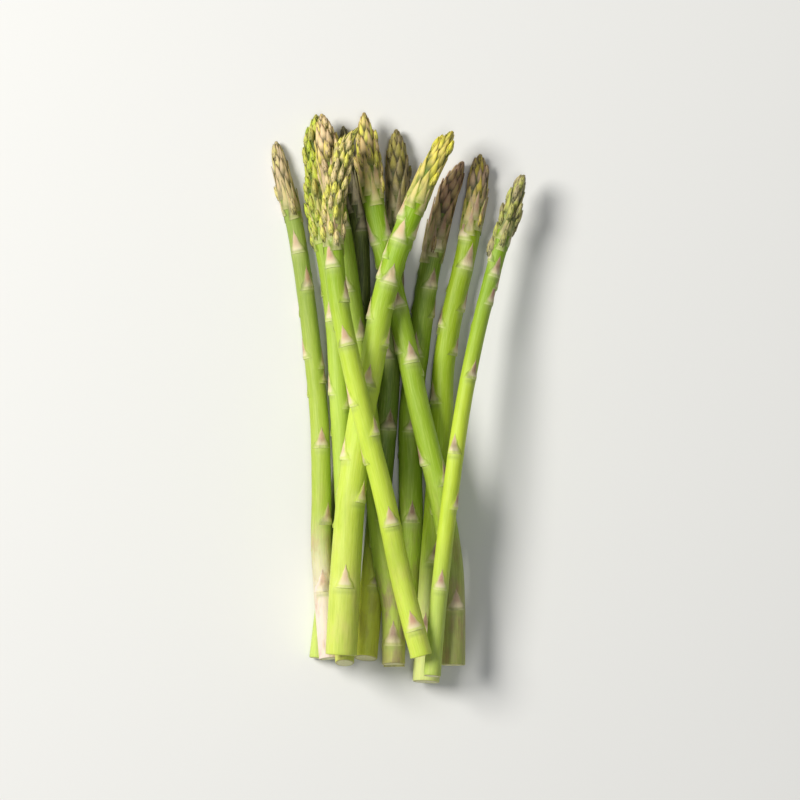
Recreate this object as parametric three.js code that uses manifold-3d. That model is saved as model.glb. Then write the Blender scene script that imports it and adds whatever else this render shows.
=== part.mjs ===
// A loose bunch of green asparagus spears, picked and trimmed, lying in a low pile.
// Millimetres. +Z is up and +Y runs towards the tips. The origin is on the surface that the pile
// lies on, under its middle. Each spear grew in one piece, so each is one solid with its scales.

import * as THREE from 'three';
import { mergeVertices } from 'three/addons/utils/BufferGeometryUtils.js';
import Module from 'manifold-3d';

const wasm = await Module();
wasm.setup();

// Room kept between two spears that lie against each other, and how much of it their skins add
const CLEARANCE = 0.3;
const SKIN_ROOM = 0.12;
// How far a spear on the surface is pressed flat
const PRESSED = 0.3;
// The tightest curve in which a spear arches over another
const ARCH_RADIUS = 450;

// Stem scales: a triangular leaf that clasps the stem, its base a ledge, its point towards the tip
const STEM_SCALE = { length: 11.8, base: 0.85, point: 0.45 };
const STEM_SIZES = { least: 0.85, spread: 0.3 };
// Head scales: shorter, overlapping like roof tiles, and smallest at the tip
const HEAD_SCALE = { length: 8.6, base: 0.6, point: 0.9 };
const HEAD_SIZES = { atTip: 0.68, growth: 0.5, spread: 0.1 };
// How much the angle of a head scale varies
const HEAD_SPREAD = 16;
// How deep a scale's root goes into the stem, and how far its corners sink under the skin
const SCALE_ROOT = 1;
const SLIM_ROOT = 0.35;
const CORNER_SINK = 0.5;
// The least distance from the tip of a spear to a scale's point, and to the first scale's base
const TIP_GAP = 0.4;
const FIRST_BASE = 3;
// Turn from one scale to the next, up the stem
const SCALE_TURN = 137.5;
// The underside's scales: how far behind the upper side's, and how much their angles vary
const UNDERSIDE_LAG = 11;
const UNDERSIDE_SPREAD = 50;
// How much closer together the head scales get towards the tip
const HEAD_CROWDING = 1.35;
// How full a head is towards its tip: the power of the distance in its rounded outline
const HEAD_FULLNESS = 0.9;
// Places below a head, in the distance from its tip to where it is widest
const HEAD_SCALED = 2;
const HEAD_END = 2.1;

// Sides of a stem, and the distance between its rings along the head and along the stem
const STEM_SIDES = 8;
const HEAD_RINGS = [0.8, 3, 7, 14];
const RING_STEP = 19;
const TIP_RADIUS = 0.5;
// Distances along a spear at which its height is worked out
const TRACE_STEP = 1;
const REST_STEP = 3;
// The slab that stands for the surface under the pile
const SLAB = { side: 400, depth: 20 };

// Every spear, from the lowest in the pile to the highest. The plan is its centre line seen from
// above, from the tip to the cut end. Widths are across the head, just below it, and at the cut
// end. The head is widest at its peak. The slant is that of the cut, which faces up a little.
// Nodes are the stem scales: the base's place along Y, and its side, 0 right, 90 up, 180 left.
const SPEARS = [
  {
    name: 'spear_01', colour: 0x7f8f45,
    plan: [[-24, 115.5], [-21.8, 101.6], [-18.9, 84], [-16.4, 64], [-16.2, 40], [-18, 16],
      [-22.4, -15], [-27.7, -55], [-34.2, -109.6]],
    head: 8.6, peak: 17, neck: 7, butt: 8.4, slant: 0.1, scales: 13, start: 60,
    nodes: [[72, 60], [40, 130], [8, 50], [-30, 120], [-72, 40]],
  },
  {
    name: 'spear_02', colour: 0x6d7c38,
    plan: [[-1.5, 114.2], [-1.3, 98.7], [-1.4, 84], [-2.9, 46.2], [-5, 0], [-8.8, -44], [-14.7, -110.5]],
    head: 10.9, peak: 18, neck: 8.4, butt: 10, slant: 0.3, scales: 15, start: 95,
    nodes: [[70, 80], [45, 20], [18, 120], [-12.6, 70], [-47, 100], [-77.7, 60]],
  },
  {
    name: 'spear_03', colour: 0x7d6a50,
    plan: [[26.7, 100.6], [23.4, 93.6], [19, 82.7], [14.7, 66], [10.9, 46.2], [8, 23.1], [4.6, -4],
      [4.4, -29.4], [4.6, -50.4], [3.4, -71.4], [1.7, -95.8]],
    head: 9.7, peak: 15, neck: 9, butt: 10.4, slant: 0.2, scales: 14, start: 100,
    nodes: [[63.4, 70], [47.5, 60], [36, 0], [19, 110], [-13, 75], [-50.8, 85], [-85, 60]],
  },
  {
    name: 'spear_04', colour: 0x8f9a4c,
    plan: [[33.9, 103.7], [32.7, 93.2], [31.5, 81], [26.9, 57.5], [21.8, 35], [18.3, 12.6], [17.4, -12.6],
      [15.5, -44], [13, -82], [10.9, -119.7]],
    head: 10.3, peak: 17, neck: 8.7, butt: 11.3, slant: 0.15, scales: 14, start: 75,
    nodes: [[68, 130], [55.4, 70], [38.6, 10], [30.2, 170], [-1.7, 150], [-33, 70], [-68, 80], [-98, 110]],
  },
  {
    name: 'spear_05', colour: 0xa3ad62,
    plan: [[-52.3, 109.1], [-49.6, 94.5], [-44.4, 73.5], [-40, 46.2], [-36.9, 21], [-34, -8.4],
      [-33.1, -38], [-33.2, -61], [-31.7, -84], [-29.6, -109.6]],
    head: 8.2, peak: 13, neck: 7.2, butt: 8.8, slant: 0.15, scales: 13, start: 80,
    nodes: [[63, 100], [47, 60], [17.6, 165], [12.6, 10], [-20.2, 80], [-52, 45], [-79.8, 90]],
  },
  {
    name: 'spear_06', colour: 0x9aab50,
    plan: [[-35.4, 120.5], [-36.1, 105], [-35.1, 88], [-32.8, 69.3], [-29.8, 52.5], [-27.1, 29.4],
      [-25.6, 0], [-23.9, -31.5], [-22.5, -67], [-23.3, -112.1]],
    head: 9.2, peak: 16, neck: 8.2, butt: 8, slant: 0.4, scales: 15, start: 85,
    nodes: [[69.3, 150], [55, 50], [33, 110], [2, 165], [-4, 20], [-40, 95], [-78, 60]],
  },
  {
    name: 'spear_07', colour: 0x9da352,
    plan: [[-33, 120.5], [-31.1, 107], [-28.1, 88.2], [-23.9, 67.2], [-20.6, 44.1], [-17.6, 23.1],
      [-13.9, -4.2], [-10.1, -38], [-6.9, -67], [-3, -88], [-2.7, -112.3]],
    head: 10.1, peak: 14, neck: 8.4, butt: 9.6, slant: 0.2, scales: 15, start: 70,
    nodes: [[72, 70], [46, 120], [25, 60], [-10, 100], [-50, 50], [-102.9, 95]],
  },
  {
    name: 'spear_08', colour: 0xa8a850,
    plan: [[-15.1, 121], [-14.3, 109.2], [-12.8, 96.6], [-10.1, 77.7], [-5.9, 58.8], [-1.7, 42], [2.9, 21],
      [8.2, -4.2], [16.8, -40], [21.4, -67.2], [22.5, -89], [22.5, -112]],
    head: 10.5, peak: 21, neck: 8.8, butt: 9.9, slant: 0.1, scales: 16, start: 90,
    nodes: [[67.2, 25], [66.5, 155], [38.6, 80], [20.2, 170], [15.1, 70], [-26.5, 165], [-36.5, 30],
      [-87.4, 75]],
  },
  {
    name: 'spear_09', colour: 0xa9ba5a,
    plan: [[22, 112.8], [16.4, 102.9], [9.7, 90], [2.9, 73.5], [-2.9, 56.7], [-7.8, 38.6], [-11.5, 16.8],
      [-16, -6.3], [-20.2, -37.8], [-22.5, -67.2], [-24.6, -106.7]],
    head: 9.7, peak: 17, neck: 9.4, butt: 13.2, slant: 0, scales: 15, start: 95,
    nodes: [[74.5, 160], [69, 10], [66, 110], [49.1, 85], [50, 175], [33.2, 165], [23.5, 15], [6.3, 95],
      [-25.2, 160], [-42.8, 40], [-78.5, 90]],
  },
  {
    name: 'spear_10', colour: 0x93a24e,
    plan: [[52.3, 94.5], [49.3, 86.9], [44.5, 72.2], [39.1, 53.8], [31.9, 25.2], [25.8, -6.3], [20.6, -44],
      [16.6, -79.8], [13.4, -116.3]],
    head: 7.1, peak: 10, neck: 6.4, butt: 7.2, slant: 0.15, scales: 12, start: 80,
    nodes: [[76, 165], [58, 165], [52, 70], [40.7, 40], [9.2, 60], [-21.8, 110], [-45, 25], [-78.5, 90]],
  },
  {
    name: 'spear_11', colour: 0xa6b85c,
    plan: [[-17.6, 114], [-23.1, 105], [-25.8, 93.2], [-27.7, 79.8], [-27.9, 65], [-26, 44.1], [-21.2, 19],
      [-14.3, -10.5], [-6.3, -42], [1.3, -77.7], [9, -107.1]],
    head: 8.2, peak: 22, neck: 8.2, butt: 9.2, slant: 0, scales: 18, start: 90,
    nodes: [[66, 60], [55.4, 110], [40.7, 25], [22.7, 90], [-1.7, 165], [-15, 25], [-52.5, 80], [-95.8, 85]],
  },
];

// Turns degrees into radians
const radians = THREE.MathUtils.degToRad;

// A small seeded generator of numbers from 0 to 1
function seededDraws(seed) {
  let state = seed * 2654435761 % 4294967296;
  return () => {
    state = (state * 1664525 + 1013904223) % 4294967296;
    return state / 4294967296;
  };
}

// The value at a place among [place, value] pairs, eased from one pair to the next
function eased(pairs, place) {
  const next = pairs.findIndex(([at]) => at >= place);
  if (next === 0) return pairs[0][1];
  if (next < 0) return pairs[pairs.length - 1][1];
  const [fromPlace, fromValue] = pairs[next - 1];
  const [toPlace, toValue] = pairs[next];
  const share = (place - fromPlace) / (toPlace - fromPlace);
  return fromValue + (toValue - fromValue) * share * share * (3 - 2 * share);
}

// A smooth plan curve through the chosen points, as points one step apart
function tracePlan(plan) {
  const points = plan.map(([x, y]) => new THREE.Vector3(x, y, 0));
  const curve = new THREE.CatmullRomCurve3(points, false, 'catmullrom', 0.5);
  curve.arcLengthDivisions = 400;
  const steps = Math.round(curve.getLength() / TRACE_STEP);
  return curve.getSpacedPoints(steps);
}

// The stem's radius without scales, at a distance from the tip
function bareRadius(spear, distance) {
  const headRadius = spear.head / 2 - HEAD_SCALE.point;
  if (distance < spear.peak) {
    const fullness = Math.sin((Math.PI / 2) * (distance / spear.peak) ** HEAD_FULLNESS);
    return TIP_RADIUS + (headRadius - TIP_RADIUS) * fullness;
  }
  return eased([
    [spear.peak, headRadius],
    [spear.peak * HEAD_END, spear.neck / 2],
    [spear.length, spear.butt / 2],
  ], distance);
}

// The lowest height of a spear's centre at each place, over the surface and over what lies below
function neededHeights(spear, below) {
  const needs = [];
  for (let step = 0; step < spear.trace.length; step += REST_STEP) {
    const here = spear.trace[step];
    const radius = bareRadius(spear, step * TRACE_STEP);
    let height = radius - PRESSED;
    for (const other of below) {
      for (let index = 0; index < other.trace.length; index += 1) {
        const touching = radius + other.radii[index] + 2 * SKIN_ROOM + CLEARANCE;
        const apart = Math.hypot(other.trace[index].x - here.x, other.trace[index].y - here.y);
        if (apart < touching) {
          height = Math.max(height, other.heights[index] + Math.sqrt(touching ** 2 - apart ** 2));
        }
      }
    }
    needs.push({ place: step * TRACE_STEP, height });
  }
  return needs;
}

// How far an arch of the tightest curve has fallen at a distance from its top
function archDrop(distance) {
  return distance ** 2 / (2 * ARCH_RADIUS);
}

// The lowest smooth line over the needed heights: it arches over each, and lies in a dip between
function archedHeights(needs) {
  const domes = needs.map(({ place }) => ({
    place,
    height: Math.max(...needs.map((need) => need.height - archDrop(place - need.place))),
  }));
  const dips = domes.map(({ place }) => ({
    place,
    height: Math.max(...domes.map((dome) => dome.height - archDrop(place - dome.place))),
  }));
  return (place) => Math.min(...dips.map((dip) => dip.height + archDrop(place - dip.place)));
}

// Lays the spears down one on another, from the lowest to the highest
function layDown(spears) {
  const laid = [];
  for (const spear of spears) {
    spear.trace = tracePlan(spear.plan);
    spear.length = (spear.trace.length - 1) * TRACE_STEP;
    spear.radii = spear.trace.map((_, index) => bareRadius(spear, index * TRACE_STEP));
    const heightAt = archedHeights(neededHeights(spear, laid));
    spear.heights = spear.trace.map((_, index) => heightAt(index * TRACE_STEP));
    spear.trace.forEach((point, index) => point.setZ(spear.heights[index]));
    laid.push(spear);
  }
  return laid;
}

// The centre line's point, its direction towards the tip, and the two directions across it
function frameAt(spear, distance) {
  const last = spear.trace.length - 1;
  const place = THREE.MathUtils.clamp(distance / TRACE_STEP, 0, last - 0.001);
  const index = Math.floor(place);
  const centre = spear.trace[index].clone().lerp(spear.trace[index + 1], place - index);
  const before = spear.trace[Math.max(index - 2, 0)];
  const after = spear.trace[Math.min(index + 3, last)];
  const along = before.clone().sub(after).normalize();
  const right = along.clone().cross(new THREE.Vector3(0, 0, 1)).normalize();
  return { centre, along, right, up: right.clone().cross(along) };
}

// A point at a distance from the tip, an angle round the stem and a radius from its centre
function pointRound(spear, distance, angle, radius) {
  const { centre, right, up } = frameAt(spear, distance);
  return centre
    .addScaledVector(right, radius * Math.cos(radians(angle)))
    .addScaledVector(up, radius * Math.sin(radians(angle)));
}

// A closed solid from points and triangles
function solidOf(points, triangles) {
  const geometry = new THREE.BufferGeometry().setFromPoints(points);
  geometry.setIndex(triangles.flat());
  const merged = mergeVertices(geometry, 1e-4);
  return new wasm.Manifold(new wasm.Mesh({
    numProp: 3,
    vertProperties: new Float32Array(merged.attributes.position.array),
    triVerts: new Uint32Array(merged.index.array),
  }));
}

// Distances from the tip at which the bare spear has a ring of points
function ringPlaces(spear) {
  const lastOfHead = HEAD_RINGS[HEAD_RINGS.length - 1];
  const spans = Math.round((spear.length - lastOfHead) / RING_STEP);
  const span = (spear.length - lastOfHead) / spans;
  const stem = Array.from({ length: spans }, (_, index) => lastOfHead + (index + 1) * span);
  return [...HEAD_RINGS, ...stem];
}

// The bare spear: rings of points from the tip to the cut end, which slants up from its low side
function stemSolid(spear) {
  const rings = ringPlaces(spear);
  const lastRing = rings[rings.length - 1];
  const points = [frameAt(spear, 0).centre];
  for (const place of rings) {
    const radius = bareRadius(spear, place);
    const { along } = frameAt(spear, place);
    for (let side = 0; side < STEM_SIDES; side += 1) {
      const angle = side * 360 / STEM_SIDES;
      const cutBack = place === lastRing ? spear.slant * radius * (1 + Math.sin(radians(angle))) : 0;
      points.push(pointRound(spear, place, angle, radius).addScaledVector(along, cutBack));
    }
  }
  const end = frameAt(spear, spear.length);
  points.push(end.centre.addScaledVector(end.along, spear.slant * spear.butt / 2));
  const triangles = [];
  const endPoint = points.length - 1;
  for (let side = 0; side < STEM_SIDES; side += 1) {
    const next = (side + 1) % STEM_SIDES;
    triangles.push([0, 1 + next, 1 + side]);
    for (let ring = 0; ring < rings.length - 1; ring += 1) {
      const here = 1 + ring * STEM_SIDES;
      const beyond = here + STEM_SIDES;
      triangles.push([here + side, beyond + next, beyond + side]);
      triangles.push([here + side, here + next, beyond + next]);
    }
    const around = endPoint - STEM_SIDES;
    triangles.push([around + side, around + next, endPoint]);
  }
  return solidOf(points, triangles);
}

// Faces of a scale's outer side: four points along its base, then its point
const SCALE_FACES = [[0, 4, 1], [1, 4, 2], [2, 4, 3]];
const SCALE_RIM = [0, 4, 3, 2, 1];

// The room above a point of a spear's skin before it meets another spear's skin
function roomAbove(spear, point) {
  let room = Infinity;
  for (const other of SPEARS) {
    if (other === spear) continue;
    other.trace.forEach((centre, index) => {
      room = Math.min(room, centre.distanceTo(point) - other.radii[index] - CLEARANCE);
    });
  }
  return room;
}

// One scale with its root: the outer side stands out of the stem and the inner side is inside it.
// It covers three of the stem's sides, so its angle goes to the middle of the nearest side.
function scaleSolid(spear, shape, base, angle, size) {
  const length = Math.min(shape.length * size, base - TIP_GAP);
  const facet = 360 / STEM_SIDES;
  const middle = (Math.round(angle / facet - 0.5) + 0.5) * facet;
  const outline = [
    [0, -1.5, -CORNER_SINK], [0, -0.5, shape.base], [0, 0.5, shape.base], [0, 1.5, -CORNER_SINK],
    [1, 0, shape.point],
  ];
  const outer = [];
  const inner = [];
  for (const [rise, side, lift] of outline) {
    const distance = base - rise * length;
    const radius = bareRadius(spear, distance);
    const turn = middle + side * facet;
    const room = roomAbove(spear, pointRound(spear, distance, turn, radius)) / 2;
    outer.push(pointRound(spear, distance, turn, radius + Math.min(lift, room)));
    inner.push(pointRound(spear, distance, turn, Math.max(radius - SCALE_ROOT, radius * SLIM_ROOT)));
  }
  const count = outline.length;
  const triangles = SCALE_FACES.map((face) => [...face]);
  SCALE_FACES.forEach(([first, second, third]) => {
    triangles.push([first + count, third + count, second + count]);
  });
  SCALE_RIM.forEach((here, index) => {
    const next = SCALE_RIM[(index + 1) % SCALE_RIM.length];
    triangles.push([here, here + count, next + count]);
    triangles.push([here, next + count, next]);
  });
  return solidOf([...outer, ...inner], triangles);
}

// The distance from the tip at which a spear passes a place along Y
function distanceAtY(spear, y) {
  const index = spear.trace.findIndex((point) => point.y <= y);
  return index * TRACE_STEP;
}

// All scales of a spear: crowded round the head, then one by one down the stem
function scaleSolids(spear, draw) {
  const solids = [];
  const lastBase = spear.peak * HEAD_SCALED;
  for (let index = 0; index < spear.scales; index += 1) {
    const share = (index + 0.5) / spear.scales;
    const base = FIRST_BASE + (lastBase - FIRST_BASE) * share ** HEAD_CROWDING;
    const size = HEAD_SIZES.atTip + HEAD_SIZES.growth * share + HEAD_SIZES.spread * draw();
    const angle = spear.start + index * SCALE_TURN + HEAD_SPREAD * (draw() - 0.5);
    solids.push(scaleSolid(spear, HEAD_SCALE, base, angle, size));
  }
  spear.nodes.forEach(([y, side], index) => {
    const base = distanceAtY(spear, y);
    const size = STEM_SIZES.least + STEM_SIZES.spread * draw();
    solids.push(scaleSolid(spear, STEM_SCALE, base, side, size));
    const turned = side + 180 + UNDERSIDE_SPREAD * (draw() - 0.5);
    if (index % 2 === 1) solids.push(scaleSolid(spear, STEM_SCALE, base + UNDERSIDE_LAG, turned, size));
  });
  return solids;
}

// The room under the surface, which nothing reaches into
function underSurface() {
  const slab = new THREE.BoxGeometry(SLAB.side, SLAB.side, SLAB.depth);
  slab.translate(0, 0, -SLAB.depth / 2);
  slab.deleteAttribute('normal');
  slab.deleteAttribute('uv');
  const merged = mergeVertices(slab);
  return new wasm.Manifold(new wasm.Mesh({
    numProp: 3,
    vertProperties: new Float32Array(merged.attributes.position.array),
    triVerts: new Uint32Array(merged.index.array),
  }));
}

// One spear as a named mesh, with its scales joined on and its underside flat where it lies
function spearMesh(spear, seed) {
  const draw = seededDraws(seed);
  let solid = stemSolid(spear);
  for (const scale of scaleSolids(spear, draw)) solid = solid.add(scale);
  solid = solid.subtract(underSurface());
  const { vertProperties, triVerts } = solid.getMesh();
  const geometry = new THREE.BufferGeometry();
  geometry.setAttribute('position', new THREE.BufferAttribute(new Float32Array(vertProperties), 3));
  geometry.setIndex(Array.from(triVerts));
  geometry.computeVertexNormals();
  const material = new THREE.MeshStandardMaterial({ color: spear.colour, roughness: 0.55, metalness: 0 });
  const mesh = new THREE.Mesh(geometry, material);
  mesh.name = spear.name;
  return mesh;
}

const bunch = new THREE.Group();
layDown(SPEARS).forEach((spear, index) => bunch.add(spearMesh(spear, index + 1)));

export default bunch;
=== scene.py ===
# A loose bunch of green asparagus spears, lying in a low pile and seen from straight above.
# Metres. +Z is up and +Y runs towards the tips.
import math
import bpy
import numpy as np
from mathutils import Matrix, Vector


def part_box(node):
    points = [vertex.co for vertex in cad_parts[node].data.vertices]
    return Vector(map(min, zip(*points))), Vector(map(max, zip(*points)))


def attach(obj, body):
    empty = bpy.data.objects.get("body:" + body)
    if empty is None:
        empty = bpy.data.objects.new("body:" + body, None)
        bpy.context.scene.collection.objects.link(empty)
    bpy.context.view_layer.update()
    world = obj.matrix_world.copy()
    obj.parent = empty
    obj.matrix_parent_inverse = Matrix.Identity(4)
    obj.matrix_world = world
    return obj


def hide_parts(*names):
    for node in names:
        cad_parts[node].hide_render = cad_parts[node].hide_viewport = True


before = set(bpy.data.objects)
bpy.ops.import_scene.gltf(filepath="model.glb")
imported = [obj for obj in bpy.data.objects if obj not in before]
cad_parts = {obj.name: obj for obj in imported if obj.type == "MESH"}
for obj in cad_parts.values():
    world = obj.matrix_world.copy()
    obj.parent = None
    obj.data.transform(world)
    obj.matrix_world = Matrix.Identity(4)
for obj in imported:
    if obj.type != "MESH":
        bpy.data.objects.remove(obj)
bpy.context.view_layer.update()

# How the spears lie on one another: the gap between two, the room for each skin, how far the
# lowest are pressed onto the surface, and the radius of the tightest arch
CLEARANCE = 0.0003
SKIN_ROOM = 0.00012
PRESSED = 0.0003
ARCH_RADIUS = 0.45

# The centre lines: the points made between two points of a plan, the step of the finished line,
# how many steps apart heights are tested, and how many steps each way give its direction
PLAN_POINTS = 120
TRACE_STEP = 0.001
REST_EVERY = 3
DIRECTION_STEPS = 3

# About half the height of the pile
PILE_MIDDLE = 0.02

# How far the middle of a spear's line may be from the middle of its solid
PLACE_ALLOWED = 0.006

# The bare stem in the head: how far scales stand out of it, its radius at the tip, how full it is
# towards the tip, and where the stem below it starts, in distances from the tip to the widest place
HEAD_RISE = 0.0009
TIP_RADIUS = 0.0005
HEAD_FULLNESS = 0.9
HEAD_END = 2.1

# How finely a stalk is made. A ring at the tip has its place and its share of the girth, and one
# of the cut end its share of the girth and of the rim's depth.
STALK_SIDES = 40
RING_STEP = 0.0013
TIP_RINGS = [(0, 0.35), (0.0003, 0.8), (0.0007, 1), (0.0012, 1)]
BODY_START = 0.002
CUT_RIM = 0.0004
CUT_RINGS = [(0.985, 0.45), (0.94, 0.1), (0.86, 0), (0.6, 0), (0.3, 0), (0.02, 0)]
SLANT_LENGTH = 0.008

# A length too small to see, and the least angle of an edge that looks sharp
HAIR = 1e-6
SHARP_EDGE = 50

# The swelling of the stalk just below a stem scale's base: how much, how far down and how long
SWELL = 0.02
SWELL_BELOW = 0.0008
SWELL_LENGTH = 0.0022

# The marks on the stalk at a stem scale, within the angle that it clasps: a painted shadow below
# its base, as its ledge would cast it, and a pale band above it, by the place of their middles and their
# lengths
CLASP_ANGLE = 55
CLASP_CURVE = 4
LEDGE_SHADOW_BELOW = 0.0012
LEDGE_SHADOW_LENGTH = 0.0008
BAND_ABOVE = 0.001
BAND_LENGTH = 0.0028

# Where the shade between head scales ends and over how long a stretch it fades, in distances from
# the tip to the head's widest place
GAP_END = 2.0
GAP_FADE = 1.25

# The streaks are read round a stalk as if its radius were 1, and along it with this many units a
# metre, which draws them out lengthwise
STREAK_LENGTH = 12

# The numbers that mark the points of the stalk's line and of each kind of scale. Stem scales come
# in three widths, given as half the angle that they clasp.
STALK = 0
STEM_SCALES = {1: 40, 2: 52, 3: 68}
HEAD_SCALE = 4
BRACT = 5
BUD = 6

# How much of a scale's height its long edges lose, and how close to them it starts
EDGE_SINK = 0.8
EDGE_CURVE = 2.2

# The shapes of scales from base to point: half the width in degrees, and how far they lie out of
# the stem in shares of its radius. A stem scale's widths are shares of the angle that it clasps,
# apart from its point. The grids are points across and along.
STEM_SCALE_WIDTHS = [(0, 1), (0.2, 0.78), (0.5, 0.4)]
STEM_SCALE_POINT = 1
STEM_SCALE_LIFTS = [(0, 0.12), (0.1, 0.16), (0.4, 0.09), (1, 0.03)]
STEM_SCALE_GRID = (12, 9)
HEAD_SCALE_WIDTHS = [(0, 17), (0.35, 22), (0.7, 14), (1, 1.2)]
HEAD_SCALE_LIFTS = [(0, 0.04), (0.5, 0.14), (0.85, 0.19), (1, 0.17)]
HEAD_SCALE_GRID = (7, 8)
BRACT_WIDTHS = [(0, 38), (0.1, 32), (0.4, 20), (0.75, 10), (1, 1)]
BRACT_LIFTS = [(0, 0.08), (0.12, 0.12), (0.6, 0.12), (1, 0.13)]
BRACT_GRID = (9, 9)

# A side bud of length 1: half its width from its foot to its point, and its tiny scales, with the
# place of the highest base, their length, where the longest end, and how much they lean in
BUD_GIRTHS = [(0, 0.55), (0.4, 1), (1, 0.08)]
BUD_SCALES = 13
BUD_SCALE_WIDTHS = [(0, 46), (0.35, 52), (1, 3)]
BUD_SCALE_LIFTS = [(0, 0.08), (0.7, 0.3), (1, 0.26)]
BUD_SCALE_GRID = (5, 5)
BUD_HIGHEST = 0.72
BUD_SCALE_LENGTH = 0.42
BUD_END = 0.99
BUD_LEAN = 0.8
# The colour place of a bud's scales, which starts here and rises along each scale and the bud
BUD_RISE_START = 0.1
BUD_RISE = 0.45

# Where stem scales sit and how large they are. Each scale that is seen has another on the side
# turned away, further down and within a spread of degrees.
STEM_SCALE_HALF_WIDTH = 0.0043
WIDEST_CLASP = 0.9
STEM_SCALE_LENGTH = 0.0094
STEM_SCALE_LENGTH_CHANCE = (0.88, 1.14)
STEM_SCALE_TWIST = 5
LONGER_NEAR_HEAD = 0.006
NEAR_HEAD = 4
FAR_SIDE_BELOW = 0.011
FAR_SIDE_SPREAD = 50

# Where head scales sit. They follow one another by a turn in degrees, and crowd towards the tip,
# less so in a head whose buds open. The first sits just below the tip.
SCALE_TURN = 137.5
CROWDING = 1.7
CROWDING_LOST = 0.35
FIRST_SCALE = 0.0014
HEAD_SCALE_SPREAD = 16
HEAD_SCALE_TWIST = 12

# How large head scales are: their length at the tip, how much longer they grow down the head, how
# late, and how far one may reach past the tip. Those near the tip are wider and point inwards.
HEAD_SCALE_LENGTH = 0.0052
HEAD_SCALE_GROWTH = 0.0088
HEAD_SCALE_GROWTH_CURVE = 1.5
HEAD_SCALE_LENGTH_CHANCE = (0.9, 1.1)
PAST_TIP = 0.0004
HEAD_SCALE_WIDENING = 1.15
TIP_WIDENING = 0.8
TIP_WIDENING_FALL = 2.6
TIP_POINTING = 0.24
TIP_POINTING_LENGTH = 0.012

# How far head scales lift off the stem, and how loosely they lie, more so where buds open
HEAD_SCALE_LIFT = 0.0002
LOOSENESS = 0.015
LOOSENESS_OF_BUDS = 0.05

# From this share of a head's scales on they are bracts, and lose the head's colour by this much
BRACTS_FROM = 0.66
BRACT_FADE = 0.7

# Side buds: from which share of a head's scales on, how far above the scale they sit, and their
# sizes in the head and on the stem
BUDS_FROM = 0.3
BUD_ABOVE = 0.0008
HEAD_BUD_LENGTH = 0.009
HEAD_BUD_HALF_WIDTH = 0.0012
STEM_BUD_LENGTH = 0.0105
STEM_BUD_HALF_WIDTH = 0.002
BUD_LENGTH_CHANCE = (0.75, 1.05)
BUD_WIDTH_CHANCE = (0.85, 1.15)
BUD_LIFT_CHANCE = (0.0006, 0.0018)
BUD_DEPTH = 0.95
BUD_SPREAD = 8

# Where a stalk's colours change from shoot to stem, from stem to foot, and where its foot is
# flushed, as shares of its length
STEM_COLOUR = (0.2, 0.55)
FOOT_FROM = 0.7
FOOT_CHANGE = 0.2
FLUSH_EARLIER = 0.1
FLUSH_FULL = 0.9

# Colours that all spears share, on the stalk, on the cut end and on the scales
PALE_STREAK = "#e2ee84"
DARK_STREAK = "#7f9f16"
DEEP_CLOUD = "#80a21c"
PALE_BAND = "#eceea0"
# The painted shadow below a stem scale's ledge
LEDGE_SHADOW_COLOUR = "#6f8f22"
CUT_FLESH = "#f0efb2"
CUT_RING = "#b6b060"
CUT_GRAIN = "#cdbc80"
SCALE_LIP = "#f1efb4"
SCALE_CREAM = "#efe0bc"
SCALE_GRAIN = "#ece294"

# The depth of the skins' bumps
BUMP_DEPTH = 0.0004

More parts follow.
